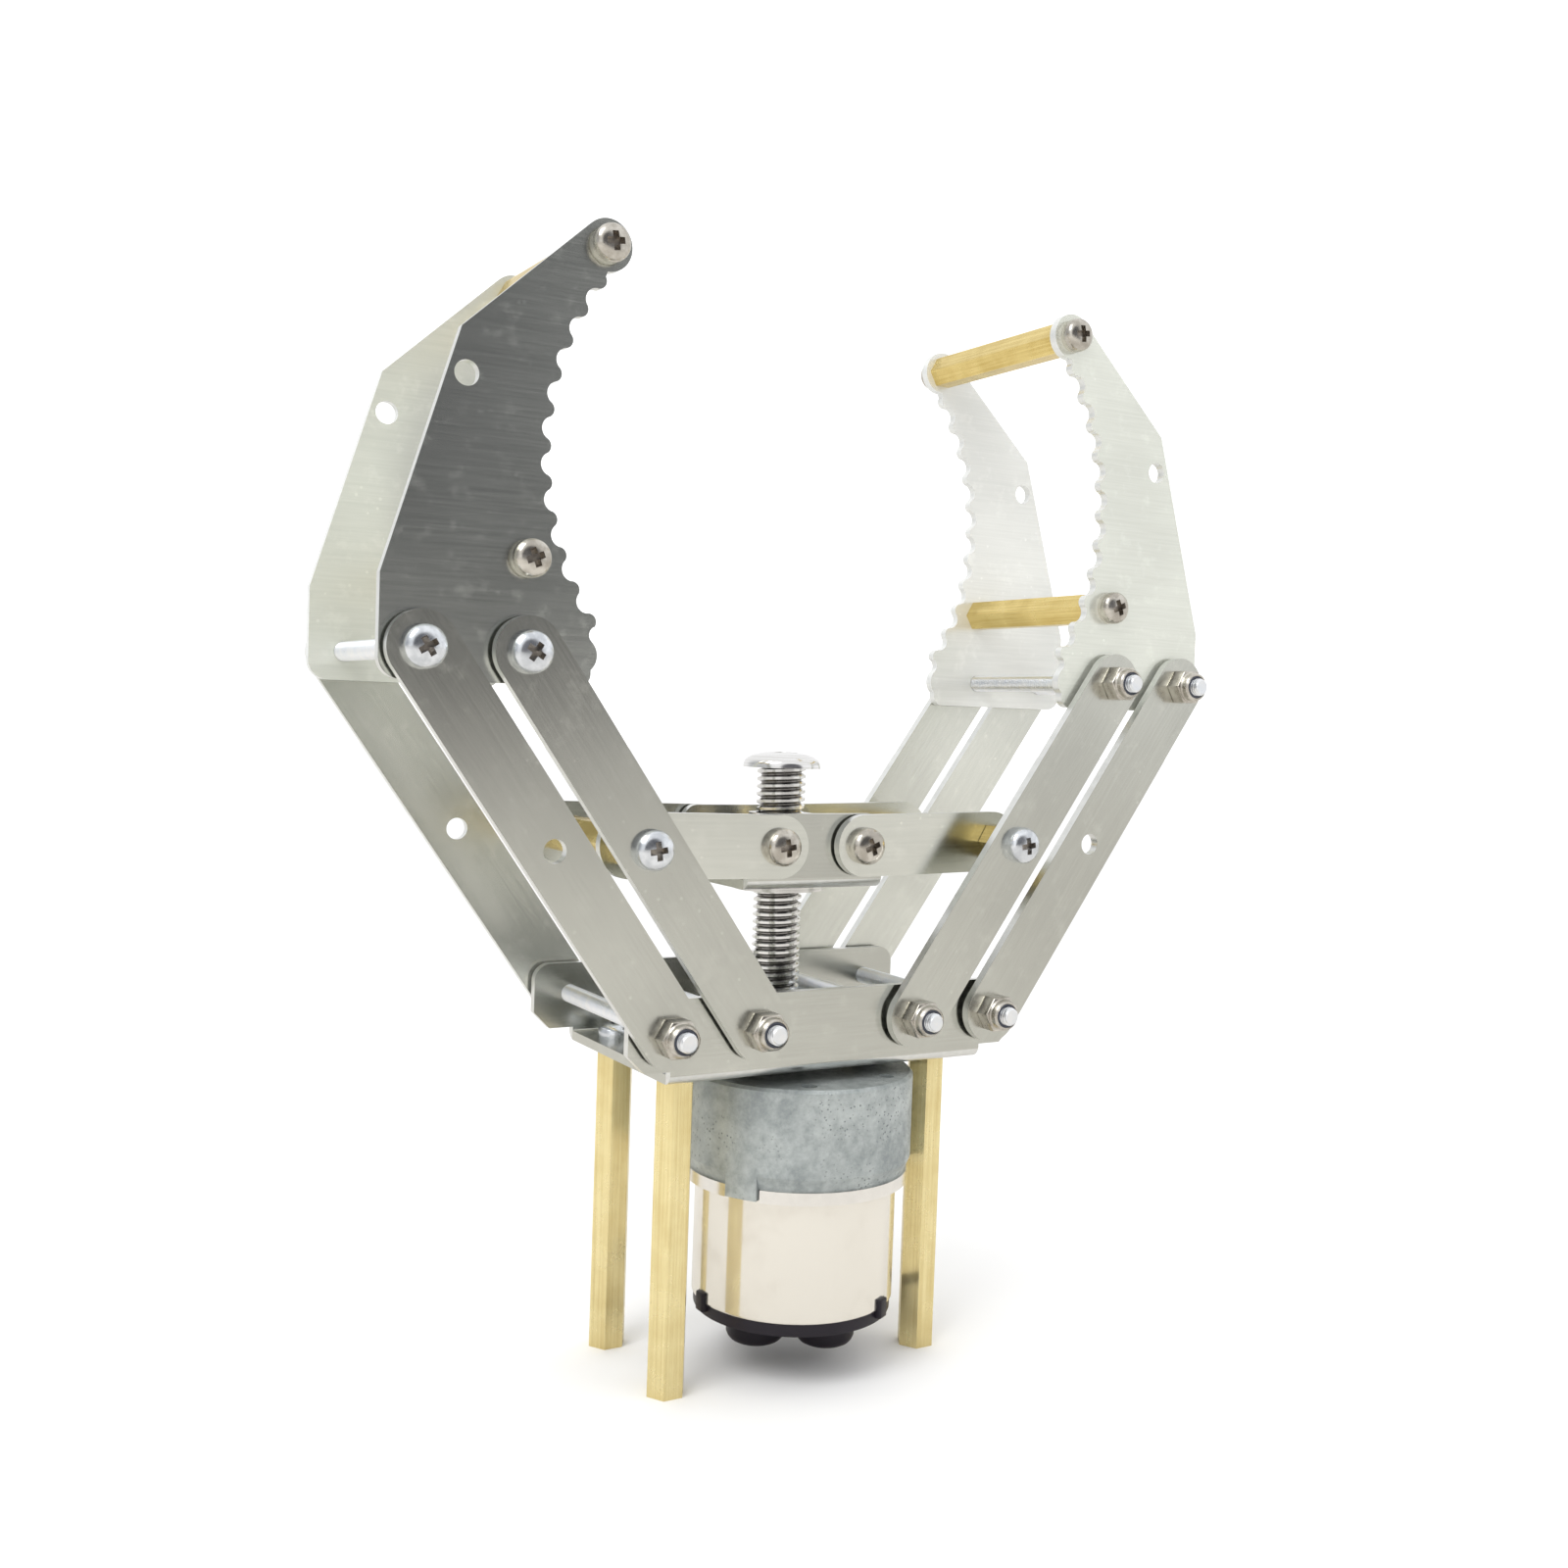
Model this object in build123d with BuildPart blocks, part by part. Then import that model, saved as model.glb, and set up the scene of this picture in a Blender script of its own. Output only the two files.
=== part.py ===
from build123d import *
import os
from math import acos, atan2, cos, degrees, hypot, radians, sin, sqrt

# Screw-driven gripper claw with two toothed fingers, in millimetres.
# X runs along the base channel, -Y is the front and +Z is up.
# The origin is on the floor, under the axis of the lead screw.
# The claw is built at its open stop, where each link lies almost level.

# Sheet metal
sheet = 1.5  # thickness of every plate, arm and link
jaw_gap = 35.0  # clear width between the two plates of a finger
thrust_washer = 0.8  # washer between a plate and the arm that turns on it
link_gap = 25.0  # clear width between the front and the back link
carrier_washer = 0.5  # washer between the carrier and a link
bend_inside = 0.3  # inside radius of a folded edge

# Arms, which are the bars of the two parallelograms
arm_pitch = 67.3  # from the base pivot to the finger pivot
arm_width = 10.0
arm_spacing = 15.0  # from the inner arm's pivot to the outer arm's pivot
inner_pivot_x = 14.25  # from the lead screw to the inner arm's base pivot
open_angle = 54.7  # arm above the horizontal at the open stop, degrees
axle_pitch = 33.65  # from the base pivot to the axle that joins arm and link

# Links, and the carrier that rides on the lead screw
link_width = 10.0
link_slope = 1.1  # link above the horizontal at the open stop, degrees
carrier_pivot_x = 7.85
carrier_length = 25.0
carrier_height = 12.0
carrier_pivot_drop = 5.05  # carrier pivot below the top of the carrier's flanges
carrier_corner = 2.5

# Base channel
channel_height = 13.0
channel_end = 7.0  # reach of a flange past the end of the plate
pivot_rise = 7.9  # base pivots above the underside of the plate
channel_corner = 2.8
tab_rise = 2.2  # a flange past the plate starts this far above its underside
tab_chamfer = 2.8
coupling_hole = 12.8

# Legs
leg_length = 50.0
leg_flats = 5.5
leg_spacing_y = 22.0
leg_gap = 0.51  # between a leg's corner and the gearbox beside it
leg_edge = 4.9  # from a leg's axis to the end of the base plate

# Finger plates, measured inwards and upwards from the finger's outer pivot
heel_out = 5.4  # straight outer edge outside the pivot
heel_drop = 4.4  # bottom edge below the pivot
heel_corner = 3.0
heel_top = 9.6  # where the outer edge starts to lean inwards
knee_in = 4.9  # bend of the outer edge
knee_up = 43.2
tip_in = 25.8  # centre of the tip and of its screw
tip_up = 57.5
tip_radius = 3.7
grip_centre_in = 58.2
grip_centre_up = 28.5
grip_radius = 40.1  # circle through the points of the teeth
tooth_count = 11
tooth_pitch = 7.05  # degrees along the gripping curve
tooth_start = 35.4  # first tooth above the middle of the gripping curve, degrees
tooth_width = 2.2
tooth_depth = 1.5
toe_in = 25.9  # rounded lobe under the lowest tooth
toe_neck = 25.0
toe_notch = 24.6
toe_half = 2.0  # half the height of the lobe, which is level with the pivot
toe_corner = 1.8
lower_screw_in = 15.28
lower_screw_up = 12.9
spare_hole_in = 5.73
spare_hole_up = 37.0
spare_hole = 3.5

# Fasteners
thread = 3.0
fit_gap = 0.02  # all round between a thread and its nut or tapped hole
turning_gap = 0.08  # all round between a pivot and the hole that turns on it
head_diameter = 6.0
head_height = 2.4
head_bevel = 0.8  # round the top of a pan head
small_head_diameter = 5.4
small_head_height = 2.0
cross_length = 0.55  # length of the cross recess, as a share of its head
cross_width = 0.8
cross_depth = 1.1
spring_washer = 0.8
spring_washer_diameter = 5.2
washer_diameter = 7.0
nut_flats = 5.5
nut_height = 2.4
nut_proud = 0.8  # screw end past a plain nut
locknut_height = 4.0
locknut_collar = 1.4  # round collar that holds the nylon ring
collar_diameter = 4.9
locknut_proud = 1.2  # bolt end past its locknut
screw_grip = 5.0  # screw in a tapped hole
tap_depth = 7.0
tap_core = 2.5
finger_spacer_flats = 5.0
axle_flats = 5.5  # hexagonal spacers on the axles of the links
axle_gap = 0.1  # between an arm's spacer and the link beside it

# Lead screw, its nut and its coupling
screw_diameter = 8.0
screw_length = 43.2
screw_end_bevel = 0.6
screw_head = 12.8
screw_head_height = 2.6
screw_head_bevel = 1.0
lead_gap = 0.05  # all round between the lead screw and its nut
lead_nut_barrel = 10.6
lead_nut_length = 11.4
lead_nut_flange = 15.0
lead_nut_flange_height = 1.2
coupling_diameter = 11.0
coupling_length = 8.6

# Gear motor
gearbox_diameter = 37.4
gearbox_height = 16.0
gearbox_edge = 0.5
gearbox_draft = 0.9  # the lower rim narrows by this much all round
gearbox_draft_height = 2.2
plate_diameter = 36.4  # bright plate between the casting and the can
plate_height = 2.0
casting_tab_width = 5.5  # tab of the casting that holds the plate in a notch
casting_tab_depth = 2.4
casting_tab_height = 1.7
casting_tab_turn = -148.5
notch_gap = 0.3
motor_spacer = 1.8  # between the gearbox and the base plate
motor_spacer_diameter = 5.5
shaft_offset = 6.15  # output shaft from the centre of the gearbox
gearbox_turn = -73.0  # direction of the gearbox's centre from the shaft, degrees
shaft_diameter = 6.0
shaft_rise = 5.4
shaft_depth = 12.0
boss_diameter = 12.0
boss_height = 0.8
motor_hole_circle = 30.6
motor_hole_turn = 5.0
motor_hole_count = 6
motor_screw_count = 4
can_diameter = 33.0
can_height = 19.3
can_edge = 0.4
cap_height = 2.1
cap_inset = 0.3
cap_bevel = 0.4
brush_boss = 9.8
brush_boss_height = 6.4
brush_boss_bevel = 1.2
brush_boss_circle = 11.4
brush_boss_turn = -30.0
ear_width = 2.6
ear_height = 1.9
ear_rise = 0.8  # from the bottom of the cap to the ears
ear_depth = 1.0
ear_proud = 1.4
ear_count = 3
ear_turn = -61.0

SIDES = {"left": -1, "right": 1}
FACES = {"front": -1, "back": 1}

# Depths from the middle of the claw, the same to the front and to the back
plate_in = jaw_gap / 2
plate_out = plate_in + sheet
arm_in = plate_out + thrust_washer
arm_out = arm_in + sheet
link_in = link_gap / 2
link_out = link_in + sheet
carrier_out = link_in - carrier_washer
carrier_in = carrier_out - sheet
bend_outside = bend_inside + sheet

# The linkage at the open stop
outer_pivot_x = inner_pivot_x + arm_spacing
pivot_z = leg_length + pivot_rise
reach_x = arm_pitch * cos(radians(open_angle))
reach_z = arm_pitch * sin(radians(open_angle))
finger_x = outer_pivot_x + reach_x
finger_z = pivot_z + reach_z
axle_x = inner_pivot_x + axle_pitch * cos(radians(open_angle))
axle_z = pivot_z + axle_pitch * sin(radians(open_angle))
link_pitch = (axle_x - carrier_pivot_x) / cos(radians(link_slope))
carrier_pivot_z = axle_z - link_pitch * sin(radians(link_slope))
carrier_top = carrier_pivot_z + carrier_pivot_drop
carrier_bottom = carrier_top - carrier_height

# Heights of the drive
gearbox_top = leg_length - motor_spacer
gearbox_bottom = gearbox_top - gearbox_height
plate_bottom = gearbox_bottom - plate_height
can_bottom = plate_bottom - can_height
cap_bottom = can_bottom - cap_height
shaft_top = gearbox_top + shaft_rise
screw_bottom = shaft_top + fit_gap
coupling_bottom = gearbox_top + boss_height + fit_gap

# Centre of the gearbox and of the motor's can, which stand beside the shaft
gearbox_x = shaft_offset * cos(radians(gearbox_turn))
gearbox_y = shaft_offset * sin(radians(gearbox_turn))
gearbox_axis = Plane((gearbox_x, gearbox_y, 0))

# The legs stand close beside the gearbox, and the base plate ends just past them
leg_reach = gearbox_diameter / 2 + leg_gap + leg_flats / sqrt(3)
leg_spacing_x = 2 * (gearbox_x + sqrt(leg_reach**2 - (leg_spacing_y / 2 + gearbox_y) ** 2))
plate_length = leg_spacing_x + 2 * leg_edge

pivot_hole = thread + 2 * turning_gap
screw_hole = thread + 2 * fit_gap
long_bolt = 2 * arm_out + locknut_height + locknut_proud
os.makedirs("parts", exist_ok=True)


def layer(depth):
    """Sketch plane across the claw at y = depth. An extrusion from it runs to the front."""
    return Plane.XZ.offset(-depth)


def rear_faces(inner):
    """Rear faces of the front and the back sheet whose inner faces lie at -inner and +inner."""
    return {"front": -inner, "back": inner + sheet}


def facing(way, x, y, z):
    """A plane at a point that faces the front when way is -1 and the back when it is 1."""
    return Plane((x, y, z), x_dir=(1, 0, 0), z_dir=(0, way, 0))


def turned(place, profile):
    """Turn a profile of (radius, height) pairs about the normal of a plane."""
    with BuildSketch(Plane(place.origin, x_dir=place.x_dir, z_dir=-place.y_dir)) as section:
        with BuildLine():
            Polyline(*profile, close=True)
        make_face()
    revolve(section.sketch, axis=Axis(place.origin, place.z_dir))


def cross_recess(place, length):
    """Cut a cross recess down from a plane."""
    with BuildSketch(place) as cross:
        Rectangle(length, cross_width)
        Rectangle(cross_width, length)
    extrude(cross.sketch, amount=-cross_depth, mode=Mode.SUBTRACT)


def pan_screw(place, length, head=head_diameter, height=head_height):
    """Pan head screw, with its head on a plane and its shank behind it."""
    shank = thread / 2
    rim = head / 2
    turned(
        place,
        [
            (0, -length),
            (shank, -length),
            (shank, 0),
            (rim, 0),
            (rim, height - head_bevel),
            (rim - head_bevel, height),
            (0, height),
        ],
    )
    cross_recess(place.offset(height), cross_length * head)


def rod(place, diameter, length):
    """Round rod that stands on a plane."""
    with BuildSketch(place) as outline:
        Circle(diameter / 2)
    extrude(outline.sketch, amount=length)


def ring(place, outside, inside, height):
    """Washer or sleeve that stands on a plane."""
    with BuildSketch(place) as outline:
        Circle(outside / 2)
        Circle(inside / 2, mode=Mode.SUBTRACT)
    extrude(outline.sketch, amount=height)


def hexagon(place, flats, height, bore):
    """Nut or hexagonal spacer with a hole right through it."""
    with BuildSketch(place) as outline:
        RegularPolygon(flats / 2, 6, major_radius=False)
        Circle(bore / 2, mode=Mode.SUBTRACT)
    extrude(outline.sketch, amount=height)


def locknut(place):
    """Hexagonal nut with the round collar of its nylon ring."""
    hexagon(place, nut_flats, locknut_height - locknut_collar, screw_hole)
    collar_place = place.offset(locknut_height - locknut_collar)
    ring(collar_place, collar_diameter, screw_hole, locknut_collar)


def hex_bar(place, flats, length, near_hole, far_hole):
    """Hexagonal bar with a tapped hole in each end."""
    with BuildSketch(place) as outline:
        RegularPolygon(flats / 2, 6, major_radius=False)
    extrude(outline.sketch, amount=length)
    with BuildSketch(place) as near_end:
        Circle(near_hole / 2)
    extrude(near_end.sketch, amount=tap_depth, mode=Mode.SUBTRACT)
    with BuildSketch(place.offset(length)) as far_end:
        Circle(far_hole / 2)
    extrude(far_end.sketch, amount=-tap_depth, mode=Mode.SUBTRACT)


def flat_bar(depth, start, end, width, holes):
    """Flat bar with round ends between two points, with holes given as (place, diameter)."""
    run = end[0] - start[0]
    rise = end[1] - start[1]
    with BuildSketch(layer(depth)) as outline:
        with Locations((start[0] + run / 2, start[1] + rise / 2)):
            SlotCenterToCenter(hypot(run, rise), width, rotation=degrees(atan2(rise, run)))
        for place, diameter in holes:
            with Locations(place):
                Circle(diameter / 2, mode=Mode.SUBTRACT)
    extrude(outline.sketch, amount=sheet)


# Places of the fasteners
leg_places = [
    (x * leg_spacing_x / 2, y * leg_spacing_y / 2) for x in (-1, 1) for y in (-1, 1)
]
motor_turns = [
    radians(motor_hole_turn + n * 360 / motor_hole_count) for n in range(motor_hole_count)
]
motor_holes = [
    (
        gearbox_x + motor_hole_circle / 2 * cos(turn),
        gearbox_y + motor_hole_circle / 2 * sin(turn),
    )
    for turn in motor_turns
]
motor_screw_places = motor_holes[:motor_screw_count]
base_pivots = [
    (way * x, pivot_z) for way in SIDES.values() for x in (inner_pivot_x, outer_pivot_x)
]

# Base channel: a plate folded up at the front and at the back.
# Each flange runs past the ends of the plate, with its lower corners cut off.
half_plate = plate_length / 2
half_channel = half_plate + channel_end
with BuildPart() as base_channel:
    for depth in rear_faces(plate_in).values():
        with BuildSketch(layer(depth)):
            with BuildLine():
                Polyline(
                    (0, leg_length),
                    (half_plate, leg_length),
                    (half_plate, leg_length + tab_rise),
                    (half_channel - tab_chamfer, leg_length + tab_rise),
                    (half_channel, leg_length + tab_rise + tab_chamfer),
                    (half_channel, leg_length + channel_height),
                    (0, leg_length + channel_height),
                )
                mirror(about=Plane.YZ)
            make_face()
            top = vertices().group_by(Axis.Y)[-1].sort_by(Axis.X)
            fillet((top[0], top[-1]), radius=channel_corner)
            with Locations(*base_pivots):
                Circle(screw_hole / 2, mode=Mode.SUBTRACT)
        extrude(amount=sheet)
    with BuildSketch(Plane.XY.offset(leg_length)):
        Rectangle(plate_length, 2 * plate_in)
        Circle(coupling_hole / 2, mode=Mode.SUBTRACT)
        with Locations(*leg_places, *motor_screw_places):
            Circle(screw_hole / 2, mode=Mode.SUBTRACT)
    extrude(amount=sheet)
    fillet(edges().filter_by(Axis.X).group_by(Axis.Z)[1], radius=bend_inside)
    fillet(edges().filter_by(Axis.X).group_by(Axis.Z)[0], radius=bend_outside)
base_channel.part.label = "base_channel"
export_step(base_channel.part, "parts/base_channel.step")

# Legs: hexagonal brass spacers, tapped at both ends
with BuildPart() as legs:
    for x, y in leg_places:
        hex_bar(Plane((x, y, 0)), leg_flats, leg_length, tap_core, screw_hole)
legs.part.label = "legs"
export_step(legs.part, "parts/legs.step")

with BuildPart() as leg_screws:
    for x, y in leg_places:
        pan_screw(Plane((x, y, leg_length + sheet)), sheet + screw_grip)
leg_screws.part.label = "leg_screws"
export_step(leg_screws.part, "parts/leg_screws.step")

# Gearbox: a casting with a boss round the shaft, tapped holes and a tab at its lower rim
gearbox_rim = gearbox_diameter / 2
tab_centre = gearbox_rim - casting_tab_depth / 2
with BuildPart() as gearbox_housing:
    turned(
        gearbox_axis.offset(gearbox_bottom),
        [
            (0, 0),
            (gearbox_rim - gearbox_draft, 0),
            (gearbox_rim, gearbox_draft_height),
            (gearbox_rim, gearbox_height - gearbox_edge),
            (gearbox_rim - gearbox_edge, gearbox_height),
            (0, gearbox_height),
        ],
    )
    with BuildSketch(gearbox_axis.offset(gearbox_bottom + gearbox_draft_height)):
        with PolarLocations(tab_centre, 1, start_angle=casting_tab_turn):
            Rectangle(casting_tab_depth, casting_tab_width)
        Circle(gearbox_rim, mode=Mode.INTERSECT)
    extrude(amount=-gearbox_draft_height - casting_tab_height)
    with BuildSketch(Plane.XY.offset(gearbox_top)):
        Circle(boss_diameter / 2)
    extrude(amount=boss_height)
    with BuildSketch(Plane.XY.offset(gearbox_top + boss_height)):
        Circle(shaft_diameter / 2 + turning_gap)
    extrude(amount=-boss_height - shaft_depth, mode=Mode.SUBTRACT)
    with BuildSketch(Plane.XY.offset(gearbox_top)):
        with Locations(*motor_screw_places):
            Circle(screw_hole / 2)
        with Locations(*motor_holes[motor_screw_count:]):
            Circle(tap_core / 2)
    extrude(amount=-tap_depth, mode=Mode.SUBTRACT)
gearbox_housing.part.label = "gearbox_housing"
export_step(gearbox_housing.part, "parts/gearbox_housing.step")

# Plate that closes the gearbox, with a notch round the casting's tab
with BuildPart() as gearbox_plate:
    with BuildSketch(gearbox_axis.offset(plate_bottom)):
        Circle(plate_diameter / 2)
        with PolarLocations(tab_centre, 1, start_angle=casting_tab_turn):
            notch_depth = casting_tab_depth + 2 * notch_gap
            Rectangle(notch_depth, casting_tab_width + 2 * notch_gap, mode=Mode.SUBTRACT)
    extrude(amount=plate_height)
gearbox_plate.part.label = "gearbox_plate"
export_step(gearbox_plate.part, "parts/gearbox_plate.step")

# Steel can of the motor, with slots at its rim for the ears of the end cap
with BuildPart() as motor_can:
    with BuildSketch(gearbox_axis.offset(can_bottom)):
        Circle(can_diameter / 2)
    extrude(amount=can_height)
    fillet(edges().group_by(Axis.Z)[0], radius=can_edge)
    with BuildSketch(gearbox_axis.offset(can_bottom)):
        with PolarLocations(can_diameter / 2, ear_count, start_angle=ear_turn):
            Rectangle(2 * (ear_depth + fit_gap), ear_width + 2 * fit_gap)
    extrude(amount=ear_height + fit_gap, mode=Mode.SUBTRACT)
motor_can.part.label = "motor_can"
export_step(motor_can.part, "parts/motor_can.step")

# Moulded end cap, with two round brush housings and three ears
with BuildPart() as motor_end_cap:
    with BuildSketch(gearbox_axis.offset(cap_bottom)):
        Circle(can_diameter / 2 - cap_inset)
    extrude(amount=cap_height)
    chamfer(edges().group_by(Axis.Z)[0], length=cap_bevel)
    with BuildSketch(gearbox_axis.offset(cap_bottom + ear_rise)):
        with PolarLocations(can_diameter / 2, ear_count, start_angle=ear_turn):
            Rectangle(2 * ear_depth, ear_width)
        with PolarLocations(can_diameter / 2 + ear_proud / 2, ear_count, start_angle=ear_turn):
            Rectangle(ear_proud, ear_width)
    extrude(amount=cap_height - ear_rise + ear_height)
    with BuildSketch(gearbox_axis.offset(cap_bottom)):
        with PolarLocations(brush_boss_circle / 2, 2, start_angle=brush_boss_turn):
            Circle(brush_boss / 2)
    extrude(amount=-brush_boss_height)
    chamfer(edges().group_by(Axis.Z)[0], length=brush_boss_bevel)
motor_end_cap.part.label = "motor_end_cap"
export_step(motor_end_cap.part, "parts/motor_end_cap.step")

with BuildPart() as motor_screws:
    for x, y in motor_screw_places:
        pan_screw(Plane((x, y, leg_length + sheet)), sheet + motor_spacer + screw_grip)
motor_screws.part.label = "motor_screws"
export_step(motor_screws.part, "parts/motor_screws.step")

with BuildPart() as motor_spacers:
    for x, y in motor_screw_places:
        place = Plane((x, y, gearbox_top))
        ring(place, motor_spacer_diameter, screw_hole, motor_spacer)
motor_spacers.part.label = "motor_spacers"
export_step(motor_spacers.part, "parts/motor_spacers.step")

# Output shaft, and the coupling that joins it to the lead screw
with BuildPart() as motor_shaft:
    rod(Plane.XY.offset(gearbox_top - shaft_depth), shaft_diameter, shaft_depth + shaft_rise)
motor_shaft.part.label = "motor_shaft"
export_step(motor_shaft.part, "parts/motor_shaft.step")

coupling_step = screw_bottom - coupling_bottom
with BuildPart() as screw_coupling:
    ring(
        Plane.XY.offset(coupling_bottom),
        coupling_diameter,
        shaft_diameter + 2 * fit_gap,
        coupling_step,
    )
    ring(
        Plane.XY.offset(screw_bottom),
        coupling_diameter,
        screw_diameter + 2 * fit_gap,
        coupling_length - coupling_step,
    )
screw_coupling.part.label = "screw_coupling"
export_step(screw_coupling.part, "parts/screw_coupling.step")

# Lead screw, with a wide pan head that stops the carrier
screw_radius = screw_diameter / 2
with BuildPart() as lead_screw:
    turned(
        Plane.XY.offset(screw_bottom),
        [
            (0, 0),
            (screw_radius - screw_end_bevel, 0),
            (screw_radius, screw_end_bevel),
            (screw_radius, screw_length),
            (screw_head / 2, screw_length),
            (screw_head / 2, screw_length + screw_head_height - screw_head_bevel),
            (screw_head / 2 - screw_head_bevel, screw_length + screw_head_height),
            (0, screw_length + screw_head_height),
        ],
    )
    top_face = Plane.XY.offset(screw_bottom + screw_length + screw_head_height)
    cross_recess(top_face, cross_length * screw_head)
lead_screw.part.label = "lead_screw"
export_step(lead_screw.part, "parts/lead_screw.step")

# Carrier: a short channel that holds the nut and the inner ends of the links
with BuildPart() as carrier_channel:
    with BuildSketch(Plane.YZ.offset(-carrier_length / 2)):
        with BuildLine():
            Polyline(
                (0, carrier_bottom),
                (carrier_out, carrier_bottom),
                (carrier_out, carrier_top),
                (carrier_in, carrier_top),
                (carrier_in, carrier_bottom + sheet),
                (0, carrier_bottom + sheet),
            )
            mirror(about=Plane.YZ)
        make_face()
        inner = vertices().group_by(Axis.Y)[1].sort_by(Axis.X)
        fillet((inner[0], inner[-1]), radius=bend_inside)
        outer = vertices().group_by(Axis.Y)[0].sort_by(Axis.X)
        fillet((outer[0], outer[-1]), radius=bend_outside)
    extrude(amount=carrier_length)
    fillet(edges().filter_by(Axis.Y).group_by(Axis.Z)[-1], radius=carrier_corner)
    with BuildSketch(Plane.XY.offset(carrier_bottom)):
        Circle(lead_nut_barrel / 2 + fit_gap)
    extrude(amount=sheet, mode=Mode.SUBTRACT)
    with BuildSketch(layer(carrier_out)):
        with Locations((-carrier_pivot_x, carrier_pivot_z), (carrier_pivot_x, carrier_pivot_z)):
            Circle(screw_hole / 2)
    extrude(amount=2 * carrier_out, mode=Mode.SUBTRACT)
carrier_channel.part.label = "carrier_channel"
export_step(carrier_channel.part, "parts/carrier_channel.step")

lead_bore = screw_diameter + 2 * lead_gap
with BuildPart() as lead_nut:
    flange_place = Plane.XY.offset(carrier_bottom - lead_nut_flange_height)
    ring(flange_place, lead_nut_flange, lead_bore, lead_nut_flange_height)
    ring(Plane.XY.offset(carrier_bottom), lead_nut_barrel, lead_bore, lead_nut_length)
lead_nut.part.label = "lead_nut"
export_step(lead_nut.part, "parts/lead_nut.step")

# Screws, washers and nuts that carry the inner ends of the links
carrier_places = [
    (way * carrier_pivot_x, face) for way in SIDES.values() for face in FACES.values()
]
carrier_screw_length = link_out - carrier_in + nut_height + nut_proud
with BuildPart() as carrier_screws:
    for x, face in carrier_places:
        pan_screw(facing(face, x, face * link_out, carrier_pivot_z), carrier_screw_length)
carrier_screws.part.label = "carrier_screws"
export_step(carrier_screws.part, "parts/carrier_screws.step")

with BuildPart() as carrier_washers:
    for x, face in carrier_places:
        place = facing(face, x, face * carrier_out, carrier_pivot_z)
        ring(place, washer_diameter, screw_hole, carrier_washer)
carrier_washers.part.label = "carrier_washers"
export_step(carrier_washers.part, "parts/carrier_washers.step")

with BuildPart() as carrier_nuts:
    for x, face in carrier_places:
        place = facing(-face, x, face * carrier_in, carrier_pivot_z)
        hexagon(place, nut_flats, nut_height, screw_hole)
carrier_nuts.part.label = "carrier_nuts"
export_step(carrier_nuts.part, "parts/carrier_nuts.step")

# Links and arms on each side, with the axle that joins them.
# The axle is open between the link and the arm's spacer: studs hold the links together,
# and a separate screw holds each spacer on its arm.
for side, way in SIDES.items():
    carrier_end = (way * carrier_pivot_x, carrier_pivot_z)
    axle = (way * axle_x, axle_z)
    for face, depth in rear_faces(link_in).items():
        with BuildPart() as link:
            holes = [(carrier_end, pivot_hole), (axle, screw_hole)]
            flat_bar(depth, carrier_end, axle, link_width, holes)
        link.part.label = f"{side}_link_{face}"
        export_step(link.part, f"parts/{side}_link_{face}.step")

    with BuildPart() as link_spacer:
        place = facing(-1, axle[0], link_in, axle[1])
        hex_bar(place, axle_flats, link_gap, screw_hole, screw_hole)
    link_spacer.part.label = f"{side}_link_spacer"
    export_step(link_spacer.part, f"parts/{side}_link_spacer.step")

    with BuildPart() as link_studs:
        for face in FACES.values():
            place = facing(-face, axle[0], face * link_out, axle[1])
            rod(place, thread, sheet + screw_grip)
    link_studs.part.label = f"{side}_link_studs"
    export_step(link_studs.part, f"parts/{side}_link_studs.step")

    with BuildPart() as arm_spacers:
        for face in FACES.values():
            place = facing(-face, axle[0], face * arm_in, axle[1])
            hexagon(place, axle_flats, arm_in - link_out - axle_gap, screw_hole)
    arm_spacers.part.label = f"{side}_arm_spacers"
    export_step(arm_spacers.part, f"parts/{side}_arm_spacers.step")

    with BuildPart() as arm_screws:
        for face in FACES.values():
            place = facing(face, axle[0], face * arm_out, axle[1])
            pan_screw(place, sheet + screw_grip)
    arm_screws.part.label = f"{side}_arm_screws"
    export_step(arm_screws.part, f"parts/{side}_arm_screws.step")

    for bar, foot_x, middle_hole in (
        ("inner", inner_pivot_x, screw_hole),
        ("outer", outer_pivot_x, spare_hole),
    ):
        foot = (way * foot_x, pivot_z)
        middle = (way * (foot_x + axle_x - inner_pivot_x), axle_z)
        head = (way * (foot_x + reach_x), finger_z)
        holes = [(foot, pivot_hole), (middle, middle_hole), (head, pivot_hole)]
        for face, depth in rear_faces(arm_in).items():
            with BuildPart() as arm:
                flat_bar(depth, foot, head, arm_width, holes)
            arm.part.label = f"{side}_{bar}_arm_{face}"
            export_step(arm.part, f"parts/{side}_{bar}_arm_{face}.step")


def finger_point(way, inwards, up):
    """Place on a finger, measured inwards and upwards from its outer pivot."""
    return (way * (finger_x - inwards), finger_z + up)


def grip_point(way, radius, turn):
    """Place on a finger at a radius and an angle about the centre of the gripping curve."""
    inwards = grip_centre_in - radius * cos(radians(turn))
    return finger_point(way, inwards, grip_centre_up + radius * sin(radians(turn)))


def tip_point(way, turn):
    """Place on the round tip of a finger."""
    across = tip_in - tip_radius * cos(radians(turn))
    return finger_point(way, across, tip_up + tip_radius * sin(radians(turn)))


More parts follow.
